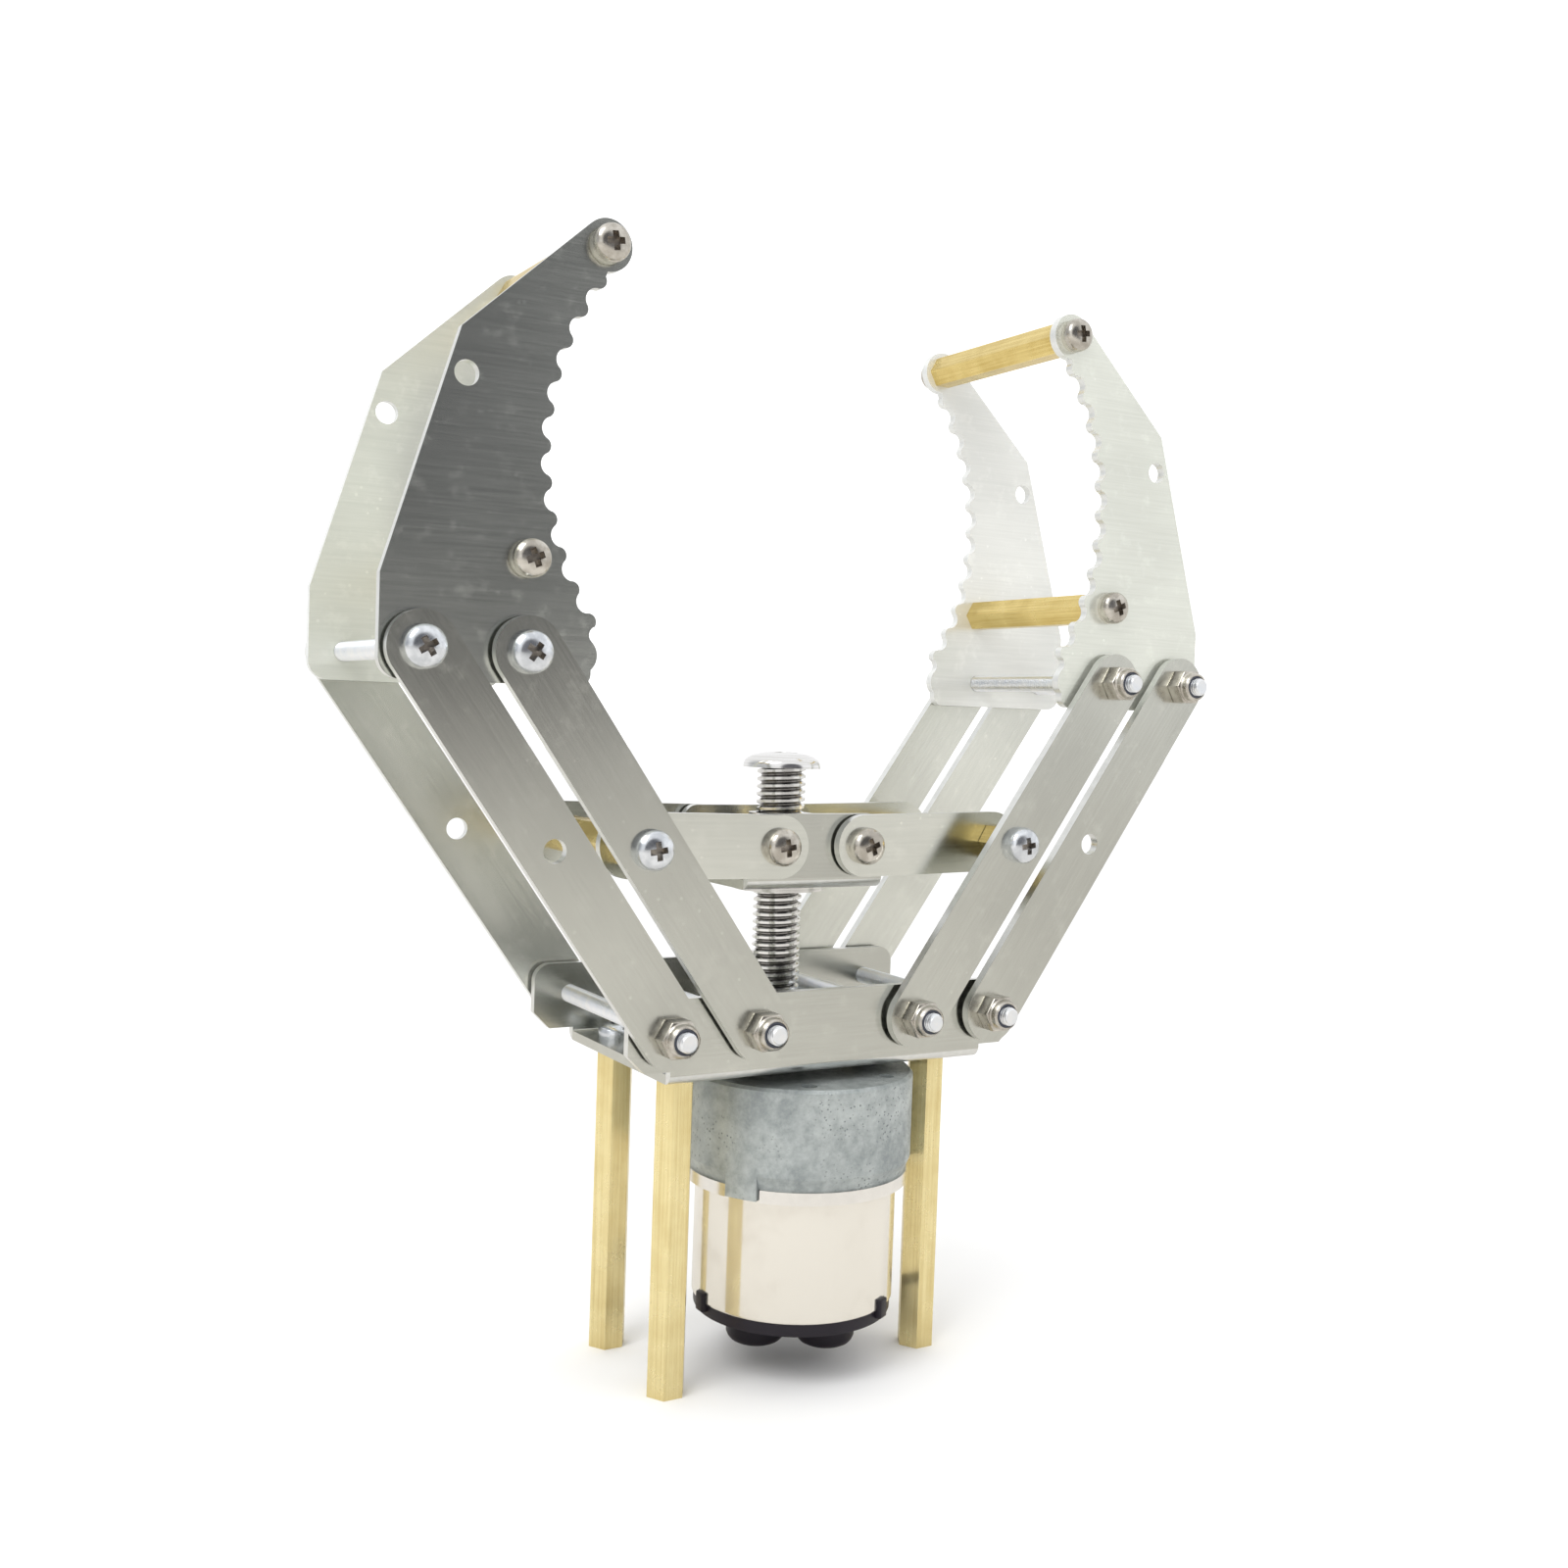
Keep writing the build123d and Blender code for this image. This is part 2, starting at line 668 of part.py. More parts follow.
# Finger plates. The outer edge meets the round tip as a tangent.
# Round teeth with wider hollows between them follow the gripping curve.
tip_run = tip_in - knee_in
tip_rise = tip_up - knee_up
tip_turn = degrees(acos(tip_radius / hypot(tip_run, tip_rise)) - atan2(tip_rise, tip_run))
tip_end_turn = 270.0
tooth_middle = grip_radius + tooth_depth / 2
half_tooth = degrees(tooth_width / 2 / tooth_middle)
for side, way in SIDES.items():
    finger_holes = [
        (finger_point(way, 0, 0), screw_hole),
        (finger_point(way, arm_spacing, 0), screw_hole),
        (finger_point(way, tip_in, tip_up), screw_hole),
        (finger_point(way, lower_screw_in, lower_screw_up), screw_hole),
        (finger_point(way, spare_hole_in, spare_hole_up), spare_hole),
    ]
    for face, depth in rear_faces(plate_in).items():
        with BuildPart() as finger_plate:
            with BuildSketch(layer(depth)):
                with BuildLine():
                    hollow_start = tip_point(way, tip_end_turn)
                    ThreePointArc(
                        tip_point(way, tip_turn),
                        tip_point(way, (tip_turn + tip_end_turn) / 2),
                        hollow_start,
                    )
                    Line(hollow_start, grip_point(way, tooth_middle, tooth_start + half_tooth))
                    for n in range(tooth_count):
                        turn = tooth_start - n * tooth_pitch
                        tooth_end = grip_point(way, tooth_middle, turn - half_tooth)
                        ThreePointArc(
                            grip_point(way, tooth_middle, turn + half_tooth),
                            grip_point(way, grip_radius, turn),
                            tooth_end,
                        )
                        if n < tooth_count - 1:
                            next_turn = turn - tooth_pitch
                            ThreePointArc(
                                tooth_end,
                                grip_point(way, grip_radius + tooth_depth, turn - tooth_pitch / 2),
                                grip_point(way, tooth_middle, next_turn + half_tooth),
                            )
                    ThreePointArc(
                        tooth_end,
                        finger_point(way, toe_notch, 1.5 * toe_half),
                        finger_point(way, toe_neck, toe_half),
                    )
                    ThreePointArc(
                        finger_point(way, toe_neck, toe_half),
                        finger_point(way, toe_in, 0),
                        finger_point(way, toe_neck, -toe_half),
                    )
                    Polyline(
                        finger_point(way, toe_neck, -toe_half),
                        finger_point(way, toe_neck, -heel_drop),
                        finger_point(way, -heel_out, -heel_drop),
                        finger_point(way, -heel_out, heel_top),
                        finger_point(way, knee_in, knee_up),
                        tip_point(way, tip_turn),
                    )
                make_face()
                outwards = Axis((0, 0, 0), (way, 0, 0))
                fillet(vertices().group_by(Axis.Y)[0].sort_by(outwards)[-1], radius=heel_corner)
                fillet(vertices().group_by(Axis.Y)[0].sort_by(outwards)[0], radius=toe_corner)
                for place, diameter in finger_holes:
                    with Locations(place):
                        Circle(diameter / 2, mode=Mode.SUBTRACT)
            extrude(amount=sheet)
        finger_plate.part.label = f"{side}_finger_plate_{face}"
        export_step(finger_plate.part, f"parts/{side}_finger_plate_{face}.step")

    # Brass spacers hold the two plates apart, each with a screw at both ends
    spacer_places = [
        finger_point(way, tip_in, tip_up),
        finger_point(way, lower_screw_in, lower_screw_up),
    ]
    with BuildPart() as finger_spacers:
        for x, z in spacer_places:
            place = facing(-1, x, plate_in, z)
            hex_bar(place, finger_spacer_flats, jaw_gap, screw_hole, screw_hole)
    finger_spacers.part.label = f"{side}_finger_spacers"
    export_step(finger_spacers.part, f"parts/{side}_finger_spacers.step")

    with BuildPart() as finger_screws:
        for x, z in spacer_places:
            for face in FACES.values():
                place = facing(face, x, face * (plate_out + spring_washer), z)
                length = spring_washer + sheet + screw_grip
                pan_screw(place, length, small_head_diameter, small_head_height)
    finger_screws.part.label = f"{side}_finger_screws"
    export_step(finger_screws.part, f"parts/{side}_finger_screws.step")

    with BuildPart() as spring_washers:
        for x, z in spacer_places:
            for face in FACES.values():
                place = facing(face, x, face * plate_out, z)
                ring(place, spring_washer_diameter, screw_hole, spring_washer)
    spring_washers.part.label = f"{side}_spring_washers"
    export_step(spring_washers.part, f"parts/{side}_spring_washers.step")

# Pivots: a long bolt through both arms and the part between them, with a locknut.
# The heads are at the back, except on the left finger, where they are at the front.
pivot_sets = {"base": (base_pivots, 1)}
for side, way in SIDES.items():
    places = [finger_point(way, 0, 0), finger_point(way, arm_spacing, 0)]
    pivot_sets[f"{side}_finger"] = (places, way)
for name, (places, head_face) in pivot_sets.items():
    with BuildPart() as pivot_bolts:
        for x, z in places:
            pan_screw(facing(head_face, x, head_face * arm_out, z), long_bolt)
    pivot_bolts.part.label = f"{name}_pivot_bolts"
    export_step(pivot_bolts.part, f"parts/{name}_pivot_bolts.step")

    with BuildPart() as pivot_nuts:
        for x, z in places:
            locknut(facing(-head_face, x, -head_face * arm_out, z))
    pivot_nuts.part.label = f"{name}_pivot_nuts"
    export_step(pivot_nuts.part, f"parts/{name}_pivot_nuts.step")

    with BuildPart() as pivot_washers:
        for x, z in places:
            for face in FACES.values():
                place = facing(face, x, face * plate_out, z)
                ring(place, washer_diameter, screw_hole, thrust_washer)
    pivot_washers.part.label = f"{name}_pivot_washers"
    export_step(pivot_washers.part, f"parts/{name}_pivot_washers.step")
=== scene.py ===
# %% [markdown]
# # A screw-driven gripper claw
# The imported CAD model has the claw's true shapes, and Blender adds the looks: brushed sheet metal, drawn brass,
# bright fasteners, a raw casting, and the thread of the lead screw. We could model everything afresh here, but
# keeping the CAD meshes means that sizes and joints stay right, so only what the CAD leaves plain is replaced.

from math import ceil, cos, pi, radians, sin, sqrt

import bmesh
import bpy
from mathutils import Matrix, Vector


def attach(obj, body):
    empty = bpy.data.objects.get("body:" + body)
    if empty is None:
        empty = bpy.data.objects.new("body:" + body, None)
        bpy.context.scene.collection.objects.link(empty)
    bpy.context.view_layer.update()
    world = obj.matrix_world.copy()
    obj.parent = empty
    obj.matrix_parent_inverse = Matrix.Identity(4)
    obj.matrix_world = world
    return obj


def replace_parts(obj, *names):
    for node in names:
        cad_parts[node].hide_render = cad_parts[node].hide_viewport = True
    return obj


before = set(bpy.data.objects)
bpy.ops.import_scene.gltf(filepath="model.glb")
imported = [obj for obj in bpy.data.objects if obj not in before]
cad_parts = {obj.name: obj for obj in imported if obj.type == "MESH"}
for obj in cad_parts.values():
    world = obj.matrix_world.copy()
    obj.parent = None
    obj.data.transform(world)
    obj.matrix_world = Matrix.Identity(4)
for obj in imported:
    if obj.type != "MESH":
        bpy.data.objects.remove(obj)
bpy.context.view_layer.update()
MM = 0.001

# %% [markdown]
# ## The camera
# The photograph was taken from the left of the claw's front, close by and a little from above. A camera can be aimed
# with a Track To constraint, but the photograph is also rolled by two degrees, so the three axes of the camera are
# worked out from its heading, tilt and roll and set as one matrix.

# %% Place the camera
camera_place = Vector((-134.232, -227.296, 105.051)) * MM
heading = radians(30.663)
tilt_down = radians(2.383)
roll = radians(1.997)
view_angle_focal = 1625.44 / 1600 * 36

forward = Vector((sin(heading) * cos(tilt_down), cos(heading) * cos(tilt_down), -sin(tilt_down)))
level_right = Vector((cos(heading), -sin(heading), 0))
level_up = level_right.cross(forward)
camera_right = cos(roll) * level_right + sin(roll) * level_up
camera_up = cos(roll) * level_up - sin(roll) * level_right

camera_data = bpy.data.cameras.new("photo_camera")
camera_data.sensor_width = 36
camera_data.lens = view_angle_focal
camera_data.clip_start = 0.01
camera_data.clip_end = 50
camera = bpy.data.objects.new("photo_camera", camera_data)
camera.matrix_world = Matrix.Translation(camera_place) @ Matrix(
    (camera_right, camera_up, -forward)
).transposed().to_4x4()
bpy.context.scene.collection.objects.link(camera)
bpy.context.scene.camera = camera
print("camera lens", round(camera_data.lens, 2))

# %% [markdown]
# ## Wires that add and multiply
# A finish is a network of small nodes. Linking each by hand takes three lines per node and hides the sum behind
# them. Here one small class holds a socket and knows +, - and *, so that a pattern reads as a line of arithmetic.
# Any other node comes from one method, which takes the node's type, its settings and its inputs.


# %% A socket that behaves like a number
class Wire:
    """An output socket of a node, which can be used in sums."""

    def __init__(self, tree, socket):
        self.tree = tree
        self.socket = socket

    def node(self, kind, settings, inputs, output=0):
        made = self.tree.nodes.new(kind)
        for name, value in settings.items():
            setattr(made, name, value)
        for name, value in inputs.items():
            self.feed(made.inputs[name], value)
        return Wire(self.tree, made.outputs[output])

    def feed(self, slot, value):
        if isinstance(value, Wire):
            self.tree.links.new(value.socket, slot)
        else:
            slot.default_value = value

    def sum(self, operation, first, second=0.0):
        return self.node("ShaderNodeMath", {"operation": operation}, {0: first, 1: second})

    def __add__(self, other):
        return self.sum("ADD", self, other)

    __radd__ = __add__

    def __sub__(self, other):
        return self.sum("SUBTRACT", self, other)

    def __rsub__(self, other):
        return self.sum("SUBTRACT", other, self)

    def __mul__(self, other):
        return self.sum("MULTIPLY", self, other)

    __rmul__ = __mul__

    def size(self):
        return self.sum("ABSOLUTE", self)

    def above(self, limit):
        return self.sum("GREATER_THAN", self, limit)

    def below(self, limit):
        return self.sum("LESS_THAN", self, limit)

    def most(self, other):
        return self.sum("MAXIMUM", self, other)

    def fade(self, low, high, start=0.0, end=1.0):
        """A soft step from start at low to end at high."""
        settings = {"interpolation_type": "SMOOTHSTEP"}
        values = {"Value": self, "From Min": low, "From Max": high, "To Min": start, "To Max": end}
        return self.node("ShaderNodeMapRange", settings, values)

    def blend(self, first, second):
        """The first colour where this is 0 and the second where it is 1."""
        settings = {"data_type": "RGBA"}
        return self.node("ShaderNodeMix", settings, {0: self, 6: first, 7: second}, output=2)

    def moved(self, stretch, angle=0.0, centre=(0, 0, 0)):
        """A place seen from a centre, turned about Y and then squeezed, for a pattern with a direction."""
        settings = {"vector_type": "TEXTURE"}
        values = {
            "Vector": self,
            "Location": centre,
            "Rotation": (0, -angle, 0),
            "Scale": tuple(1 / s for s in stretch),
        }
        return self.node("ShaderNodeMapping", settings, values)

    def part(self, axis):
        """One coordinate of a place: 0 for X, 1 for Y and 2 for Z."""
        return self.node("ShaderNodeSeparateXYZ", {}, {0: self}, output=axis)

    def noise(self, scale, detail=3.0, roughness=0.5):
        values = {"Vector": self, "Scale": scale, "Detail": detail, "Roughness": roughness}
        return self.node("ShaderNodeTexNoise", {}, values)

    def spots(self, scale):
        """Distance to the nearest of many scattered points."""
        return self.node("ShaderNodeTexVoronoi", {}, {"Vector": self, "Scale": scale})

    def bump(self, height):
        """Normals for a surface of this height, given in metres."""
        return self.node("ShaderNodeBump", {}, {"Height": self * height, "Distance": 1.0})


print("wires are ready")

# %% [markdown]
# ## Floor, light and surroundings
# The claw stands on a white sheet in a white tent. Metal shows what stands around it, so the tent matters more than
# the lamps: the left finger's front plate looks dark in the photograph because it mirrors the open front of the tent,
# and the arms below it grow lighter where they begin to mirror the tent's side. The world is therefore white, with
# one soft dark opening straight ahead and a grey side. A picture of a real studio could do the same, but a sum over
# the direction needs no image. The floor is white to the camera and greyer in the metal's reflections, as a sheet is
# close to an object that shades it.

# %% Build the studio
opening_height = radians(5)
opening = Vector((0, -cos(opening_height), sin(opening_height)))
opening_edge = (cos(radians(37)), cos(radians(26)))
grey_aim = (-0.94, 0.3, 0.15)
grey_edge = (cos(radians(55)), cos(radians(15)))
tent_white = (1.0, 1.0, 1.0, 1)
tent_dark = (0.12, 0.12, 0.13, 1)
tent_side = (0.52, 0.53, 0.54, 1)
tent_light = 1.38
tent_mirrored = 0.97

world = bpy.data.worlds.new("white_tent")
bpy.context.scene.world = world
world.use_nodes = True
world_tree = world.node_tree
backdrop = world_tree.nodes["Background"]
direction = Wire(world_tree, world_tree.nodes.new("ShaderNodeTexCoord").outputs["Generated"])


def towards(wire, aim):
    """Cosine between the direction of a ray and an aim."""
    settings = {"operation": "DOT_PRODUCT"}
    return wire.node("ShaderNodeVectorMath", settings, {0: wire, 1: tuple(aim)}, output="Value")


dark_front = towards(direction, opening).fade(*opening_edge)
grey_side = towards(direction, grey_aim).fade(*grey_edge)
rays = world_tree.nodes.new("ShaderNodeLightPath").outputs
seen = Wire(world_tree, rays["Is Camera Ray"])
mirrored_rays = Wire(world_tree, rays["Is Glossy Ray"])
tent = dark_front.blend(grey_side.blend(tent_white, tent_side), tent_dark)
seen.feed(backdrop.inputs["Color"], seen.blend(tent, tent_white))
seen.feed(backdrop.inputs["Strength"], mirrored_rays * (tent_mirrored - tent_light) + tent_light)

bpy.context.scene.view_settings.view_transform = "Standard"


def lamp(name, place, aim, side, power):
    """Square lamp that faces a point."""
    data = bpy.data.lights.new(name, "AREA")
    data.size = side
    data.energy = power
    made = bpy.data.objects.new(name, data)
    made.location = place
    made.rotation_euler = (Vector(aim) - Vector(place)).to_track_quat("-Z", "Y").to_euler()
    bpy.context.scene.collection.objects.link(made)


middle = (0, 0, 0.09)
lamp("upper_left_lamp", (-0.55, -0.25, 0.75), middle, 0.45, 3.0)

floor_half = 4.0
floor_seen = (0.86, 0.86, 0.86, 1)
floor_in_metal = (0.64, 0.62, 0.59, 1)
floor_mesh = bmesh.new()
bmesh.ops.create_grid(floor_mesh, x_segments=1, y_segments=1, size=floor_half)
floor_data = bpy.data.meshes.new("floor")
floor_mesh.to_mesh(floor_data)
floor_mesh.free()
floor = bpy.data.objects.new("floor", floor_data)
bpy.context.scene.collection.objects.link(floor)
floor_white = bpy.data.materials.new("floor_white")
floor_white.use_nodes = True
floor_shader = floor_white.node_tree.nodes["Principled BSDF"]
floor_rays = floor_white.node_tree.nodes.new("ShaderNodeLightPath").outputs
floor_mirrored = Wire(floor_white.node_tree, floor_rays["Is Glossy Ray"])
floor_colour = floor_mirrored.blend(floor_seen, floor_in_metal)
floor_mirrored.feed(floor_shader.inputs["Base Color"], floor_colour)
floor_shader.inputs["Roughness"].default_value = 0.9
floor_shader.inputs["Specular IOR Level"].default_value = 0.1
floor_data.materials.append(floor_white)
print("dark opening faces", [round(c, 2) for c in opening])

# %% [markdown]
# ## A helper for finishes
# Each finish starts from one Principled shader. Numbers that are the same all over the piece are set on the shader
# itself, and only what varies over the surface is wired. Patterns read Object coordinates: the CAD meshes keep their
# place in their vertices, so a pattern can be put at a real place in millimetres.


# %% Start a finish
def finish(name, **constants):
    """A new material, its shader and its Object coordinates."""
    material = bpy.data.materials.new(name)
    material.use_nodes = True
    tree = material.node_tree
    shader = tree.nodes["Principled BSDF"]
    for slot, value in constants.items():
        shader.inputs[slot.replace("_", " ")].default_value = value
    place = Wire(tree, tree.nodes.new("ShaderNodeTexCoord").outputs["Object"])
    return material, shader, place


def dress(material, *nodes):
    """Give a finish to CAD nodes."""
    for name in nodes:
        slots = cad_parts[name].data.materials
        slots.clear()
        slots.append(material)


def grey(level, warmth=0.0):
    """A colour near grey. A positive warmth is yellower, and a negative one bluer."""
    return (level * (1 + warmth), level, level * (1 - 2 * warmth), 1)


print("finishes start from", "Principled BSDF")

# %% [markdown]
# ## Brushed sheet metal
# The arms, links, fingers and channels are stamped from satin sheet. Brushing leaves fine scratches in one direction,
# which could be an anisotropic shader, but fine streaks in the colour, the roughness and the height also show close
# up and survive an export. The press leaves bright, scored edges. A sheet's faces lie at known depths, so whatever
# lies between those depths is an edge, and takes the brighter look. The plates that turn to the light look almost
# white in the photograph, so they get painted light: paler and less metallic copies of the sheet than the rest.

# %% Make the sheet finishes
streak_along = 90.0
streak_across = 3400.0
edge_margin = 0.05 * MM
streak_light, streak_dark = 1.11, 0.82
edge_shine = 0.3
cut_bright = (0.86, 0.87, 0.85, 1)
finger_faces = (17.5, 19.0)
arm_faces = (19.8, 21.3)
link_faces = (12.5, 14.0)
carrier_faces = (10.5, 12.0)


def brushed_sheet(name, faces, angle, tone, metal=1.0, shine=0.22):
    """Satin sheet whose two faces lie at given depths, brushed at an angle to X."""
    material, shader, place = finish(name, Metallic=metal)
    inner, outer = faces
    depth = place.part(1).size()
    edge = depth.above(inner * MM + edge_margin) * depth.below(outer * MM - edge_margin)
    streaks = place.moved((streak_along, streak_across, streak_across), radians(angle)).noise(1.0, 4.0, 0.6)
    cloud = place.noise(38.0, 2.0)
    handled = place.noise(310.0, 5.0, 0.65).fade(0.52, 0.74)
    light = [min(1.0, c * streak_light) for c in tone[:3]] + [1]
    dark = [c * streak_dark for c in tone[:3]] + [1]
    specks = place.spots(420.0).fade(0.05, 0.13, 1.0, 0.0) * cloud.above(0.52)
    face_tone = (specks * 0.5 + streaks * 0.33 + cloud * 0.53 + handled * 0.14).fade(0.15, 0.75).blend(dark, light)
    scored = place.moved((900, 120, 900)).noise(1.0, 2.0)
    edge_look = scored.blend([c * 0.8 for c in cut_bright[:3]] + [1], cut_bright)
    edge.feed(shader.inputs["Base Color"], edge.blend(face_tone, edge_look))
    rough = shine + (streaks - 0.5) * 0.06 + handled * 0.04
    edge.feed(shader.inputs["Roughness"], rough + edge * (edge_shine - shine))
    edge.feed(shader.inputs["Normal"], (streaks * 0.5 + edge * scored).bump(0.0000015))
    return material


satin = (0.6, 0.605, 0.555, 1)
satin_link = (0.80, 0.81, 0.745, 1)
satin_dark = (0.7, 0.72, 0.67, 1)
# Painted light: paler satins for the finger plates that turn to the light.
satin_painted_light = (0.80, 0.815, 0.74, 1)
satin_painted_full_light = (0.89, 0.895, 0.86, 1)
arm_angle = 54.7
link_angle = 1.1

dress(brushed_sheet("left_front_sheet", finger_faces, 0, satin_dark), "left_finger_plate_front")
# Painted light: these three finger plates get paler, less metallic copies of the sheet for the light that falls on
# them.
dress(brushed_sheet("left_back_sheet", finger_faces, 0, satin_painted_light, 0.4), "left_finger_plate_back")
dress(brushed_sheet("right_front_sheet", finger_faces, 0, satin_painted_light, 0.6), "right_finger_plate_front")
dress(brushed_sheet("right_back_sheet", finger_faces, 0, satin_painted_full_light, 0.4), "right_finger_plate_back")
dress(brushed_sheet("channel_sheet", finger_faces, 0, satin), "base_channel")
dress(brushed_sheet("carrier_sheet", carrier_faces, 0, satin), "carrier_channel")
for side, way in (("left", -1), ("right", 1)):
    along_arm = arm_angle if way == 1 else 180 - arm_angle
    arm_finishes = {
        "front": brushed_sheet(f"{side}_front_arm_sheet", arm_faces, along_arm, satin),
        "back": brushed_sheet(f"{side}_back_arm_sheet", arm_faces, along_arm, satin_link, 0.8),
    }
    link_finish = brushed_sheet(f"{side}_link_sheet", link_faces, way * link_angle, satin_link)
    for face in ("front", "back"):
        dress(arm_finishes[face], f"{side}_inner_arm_{face}", f"{side}_outer_arm_{face}")
        dress(link_finish, f"{side}_link_{face}")
print("sheet finishes made")

# %% [markdown]
# ## Drawn brass
# The legs and the spacers are cut from hexagonal bar that was pulled through a die. That leaves straight lines along
# the bar, so the noise is stretched along Z for the legs and along Y for the spacers. A picture of brass could be
# wrapped round the bars instead, but stretched noise has no seams and never repeats. A little cloudy tarnish keeps
# the faces from looking like paint.

# %% Make the brass finishes
brass_bright = (0.96, 0.84, 0.47, 1)
brass_deep = (0.74, 0.60, 0.28, 1)
spacer_bright = (0.88, 0.71, 0.30, 1)
spacer_deep = (0.62, 0.46, 0.15, 1)


def drawn_brass(name, stretch, light, deep, metal):
    material, shader, place = finish(name, Metallic=metal)
    lines = place.moved(stretch).noise(1.0, 4.0, 0.55)
    tarnish = place.noise(160.0, 4.0, 0.6)
    mixed = (lines * 0.55 + tarnish * 0.45).fade(0.3, 0.7)
    mixed.feed(shader.inputs["Base Color"], mixed.blend(deep, light))
    mixed.feed(shader.inputs["Roughness"], 0.2 + tarnish.fade(0.45, 0.8) * 0.14 + lines * 0.06)
    mixed.feed(shader.inputs["Normal"], lines.bump(0.000004))
    return material


dress(drawn_brass("leg_brass", (3000, 3000, 45), brass_bright, brass_deep, 0.78), "legs")
spacer_brass = drawn_brass("spacer_brass", (3000, 60, 3000), spacer_bright, spacer_deep, 0.94)
for side in ("left", "right"):
    for part in ("link_spacer", "arm_spacers", "finger_spacers"):
        dress(spacer_brass, f"{side}_{part}")
print("brass finishes made")

# %% [markdown]
# ## Plated steel
# Small steel parts are plated: bluish zinc on the pivot bolts and the arms' screws, warmer nickel on the nuts and the
# fingers' screws. Each could be a network of its own, but they differ only in colour, so one function makes them all.
# Rolled threads come out brighter than the heads. The inside of a cross recess looks dark, as little light comes back
# out of it, so it gets painted shade: a dark finish of its own.

# %% Make the fasteners' finishes
zinc = (0.86, 0.89, 0.93, 1)
zinc_dull = (0.62, 0.65, 0.69, 1)
nickel = (0.70, 0.67, 0.61, 1)
nickel_dull = (0.46, 0.43, 0.38, 1)
recess_dark = (0.12, 0.105, 0.095, 1)
recess_brown = (0.50, 0.45, 0.39, 1)
nylon_dark = (0.03, 0.035, 0.05, 1)
thread_bright = (0.93, 0.94, 0.95, 1)


def plated(name, light, dull, shine=0.17):
    """Plated steel with faint clouds in its colour and its gloss."""
    material, shader, place = finish(name, Metallic=1.0)
    cloud = place.noise(520.0, 4.0, 0.6)
    cloud.feed(shader.inputs["Base Color"], cloud.fade(0.35, 0.7).blend(dull, light))
    cloud.feed(shader.inputs["Roughness"], shine + cloud * 0.12)
    cloud.feed(shader.inputs["Normal"], cloud.bump(0.000003))
    return material


zinc_finish = plated("bright_zinc", zinc, zinc_dull)
nickel_finish = plated("warm_nickel", nickel, nickel_dull)
nut_finish = plated("nut_nickel", nickel, nickel_dull, 0.22)
thread_finish = plated("rolled_thread", thread_bright, zinc, 0.24)
# Painted shade: the inside of every cross recess gets this dark finish.
recess_painted_shade, recess_shader, recess_place = finish("recess_shadow", Metallic=0.9, Roughness=0.3)
recess_cloud = recess_place.noise(1300.0, 2.0)
recess_cloud.feed(recess_shader.inputs["Base Color"], recess_cloud.blend(recess_dark, recess_brown))
dress(nut_finish, "carrier_nuts")
dress(zinc_finish, "left_link_studs", "right_link_studs", "motor_spacers")
washer_finish = plated("washer_zinc", zinc, zinc_dull, 0.26)
dress(
    washer_finish, "base_pivot_washers", "carrier_washers",
    "left_finger_pivot_washers", "right_finger_pivot_washers",
)
print("plated finishes made")

# %% [markdown]
# ## Round shapes from an outline
# Heads, collars and rings are turned shapes. Cylinders and cones could be stacked, but an outline gives rims, tapers
# and domes in one piece. It starts as a few points in one plane, and the spin operator carries them round the Z axis.
# A full spin is merged, so no seam is left, and points on the axis run together into one pole. Smooth shading
# follows, with the sharp edges kept crisp.


# %% Spin and shade
def everything(mesh):
    return mesh.verts[:] + mesh.edges[:] + mesh.faces[:]


def soften(mesh, sharp_from=radians(32)):
    """Smooth faces, with the edges that are sharper than an angle kept crisp."""
    for face in mesh.faces:
        face.smooth = True
    for edge in mesh.edges:
        edge.smooth = len(edge.link_faces) == 2 and edge.calc_face_angle() < sharp_from


def outline_of(mesh, points, closed=False):
    """Corners and edges through points given as (radius, height) in millimetres."""
    corners = [mesh.verts.new((r * MM, 0, z * MM)) for r, z in points]
    following = corners[1:] + corners[:1] if closed else corners[1:]
    return corners + [mesh.edges.new(pair) for pair in zip(corners, following)]


def spun(points, steps=48, closed=False):
    mesh = bmesh.new()
    bmesh.ops.spin(
        mesh,
        geom=outline_of(mesh, points, closed),
        cent=(0, 0, 0),
        axis=(0, 0, 1),
        angle=2 * pi,
        steps=steps,
        use_merge=True,
    )
    bmesh.ops.remove_doubles(mesh, verts=mesh.verts, dist=0.001 * MM)
    bmesh.ops.recalc_face_normals(mesh, faces=mesh.faces)
    soften(mesh)
    return mesh


def as_data(name, mesh):
    """Turn a working mesh into mesh data."""
    data = bpy.data.meshes.new(name)
    mesh.to_mesh(data)
    mesh.free()
    return data


def joined(*parts):
    """One mesh of several, each given as (mesh data, list of places)."""
    mesh = bmesh.new()
    for data, places in parts:
        for place in places:
            before = len(mesh.verts)
            mesh.from_mesh(data)
            mesh.verts.ensure_lookup_table()
            bmesh.ops.transform(mesh, matrix=place, verts=mesh.verts[before:])
    return mesh


def show(name, mesh, materials, body):
    """Make a finished mesh an object that rides on a body of the claw."""
    data = as_data(name, mesh)
    for material in materials:
        data.materials.append(material)
    made = bpy.data.objects.new(name, data)
    bpy.context.scene.collection.objects.link(made)
    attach(made, body)
    return made


print("ready to spin")

# %% [markdown]
# ## Screw threads
# A thread is a ridge that climbs by one pitch per turn. A Screw modifier could make it, and so can the spin operator,
# which turns a short outline step by step and lifts it a little each time. Neighbouring turns touch and are merged,
# both ends are cut flat and closed, and the tip is bevelled so that it would find its hole. The CAD screws are plain
# rods of the thread's full width, so the new thread just fits inside their place.


# %% Model a thread
HEAD, RECESS, THREAD = range(3)


